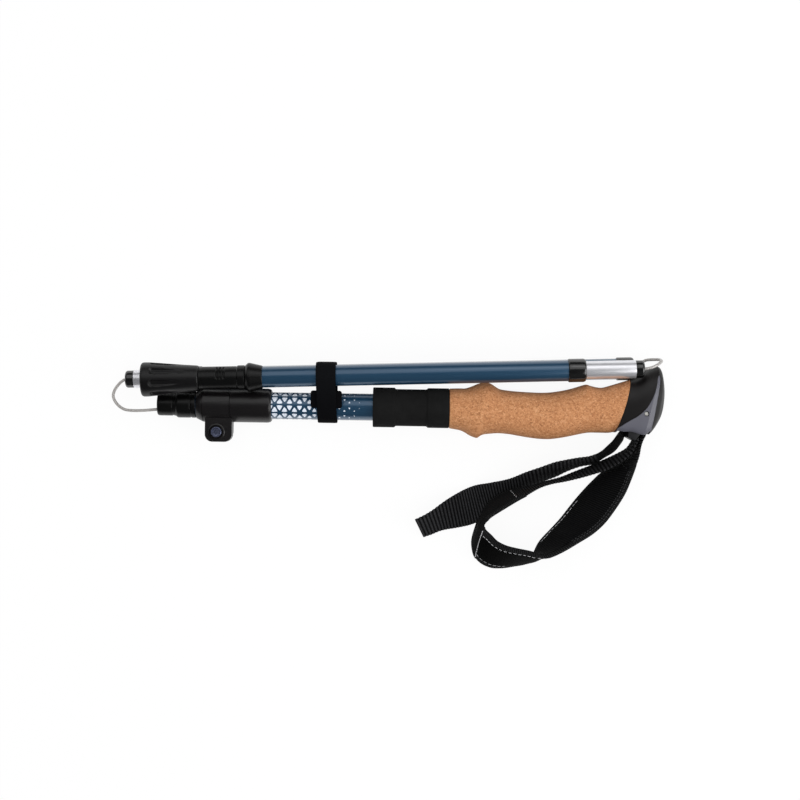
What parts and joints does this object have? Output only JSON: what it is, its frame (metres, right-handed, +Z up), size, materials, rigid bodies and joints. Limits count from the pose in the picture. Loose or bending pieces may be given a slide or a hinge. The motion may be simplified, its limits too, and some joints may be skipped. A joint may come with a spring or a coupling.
{
  "type": "folding trekking pole",
  "caption": "Folding trekking pole, folded flat: sections on an inner cable, cork grip with wrist strap, lever clamp for length, rubber foot.",
  "frame": {"origin": "centre of the folded pole's footprint, on the surface it lies on", "axes": "+X along the handle towards the grip head, +Y towards the finger side of the grip, +Z up from the surface"},
  "size_m": [0.3686, 0.1434, 0.0397],
  "materials": {
    "anodised_blue": "blue anodised, brushed along the tube",
    "polished_aluminium": "bright drawn aluminium",
    "cork": "moulded cork granules, matte",
    "black_plastic": "moulded plastic, satin",
    "grey_plastic": "moulded plastic, blue grey, satin",
    "black_rubber": "moulded rubber, matte",
    "foam_rubber": "closed-cell foam, matte",
    "webbing": "ribbed woven webbing",
    "padding": "stitched padded fabric",
    "steel": "bright steel",
    "dark_steel": "blued steel",
    "coated_cable": "stranded cable under a clear sheath"
  },
  "bodies": {
    "handle": {"handle_tube": "anodised_blue", "cork_grip": "cork", "grip_head": "black_plastic", "head_insert": "grey_plastic", "strap_pin": "steel", "strap_wedge": "black_plastic", "strap_tail": "webbing", "strap_lead": "webbing", "strap_pad": "padding", "strap_return": "webbing", "lower_grip_sleeve": "foam_rubber", "keeper_strap": "black_rubber", "keeper_tab": "black_rubber", "clamp_sleeve": "black_plastic", "clamp_band": "black_plastic", "clamp_pin": "dark_steel"},
    "lever": {"clamp_lever": "black_plastic"},
    "screw": {"clamp_screw": "dark_steel"},
    "section_2": {"section_2_tube": "anodised_blue", "upper_bushing": "black_plastic", "socket_fitting": "black_plastic", "cord_anchor": "black_plastic", "tension_spring": "steel", "cord_upper_run": "coated_cable", "cord_middle_loop": "coated_cable"},
    "middle_link": {"cord_run_a": "coated_cable"},
    "section_3": {"section_3_tube": "anodised_blue", "section_3_upper_collar": "black_plastic", "section_3_socket_collar": "black_plastic", "section_3_ferrule": "polished_aluminium", "section_3_cap": "black_plastic"},
    "lower_link": {"cord_run_b": "coated_cable", "cord_lower_loop": "coated_cable"},
    "section_4": {"section_4_tube": "anodised_blue", "section_4_collar": "black_plastic", "section_4_ferrule": "polished_aluminium", "section_4_cap": "black_plastic", "tip_body": "black_plastic", "steel_tip": "steel", "cord_lower_run": "coated_cable"},
    "foot": {"rubber_foot": "black_rubber"}
  },
  "joints": [
    {"name": "length_adjust", "type": "slide", "parent": "handle", "child": "section_2", "axis": [-1, 0, 0], "range_m": [0, 0.2], "deforming": ["keeper_strap"]},
    {"name": "middle_fold", "type": "hinge", "parent": "section_2", "child": "middle_link", "pos_m": [-0.165, 0.04419, 0.01259], "axis": [-0.0067, 0.3737, 0.9275], "range_deg": [0, 178.1], "deforming": ["cord_middle_loop"]},
    {"name": "middle_insert", "type": "slide", "parent": "middle_link", "child": "section_3", "axis": [-0.9994, -0.0358, 0], "range_m": [0, 0.0414]},
    {"name": "lower_insert", "type": "slide", "parent": "section_3", "child": "lower_link", "axis": [-0.9994, -0.0358, 0], "range_m": [0, 0.0408]},
    {"name": "lower_fold", "type": "hinge", "parent": "lower_link", "child": "section_4", "pos_m": [0.16825, 0.0641, 0.01895], "axis": [-0.0357, 0.9986, 0.0378], "range_deg": [0, 180], "deforming": ["cord_lower_loop"]},
    {"name": "clamp_lever_swing", "type": "hinge", "parent": "handle", "child": "lever", "pos_m": [-0.1122, 0.018, 0.0074], "axis": [-1, 0, 0], "range_deg": [0, 120]},
    {"name": "clamp_screw_turn", "type": "hinge", "parent": "handle", "child": "screw", "pos_m": [-0.1129, 0.018, 0.016], "axis": [0, 0, 1], "range_deg": [-180, 180]},
    {"name": "foot_pull", "type": "slide", "parent": "section_4", "child": "foot", "axis": [-0.9994, -0.0358, 0], "range_m": [0, 0.04]}
  ],
  "couplings": [
    {"joint": "lower_fold", "follows": "middle_fold", "ratio": 1.0107}
  ]
}
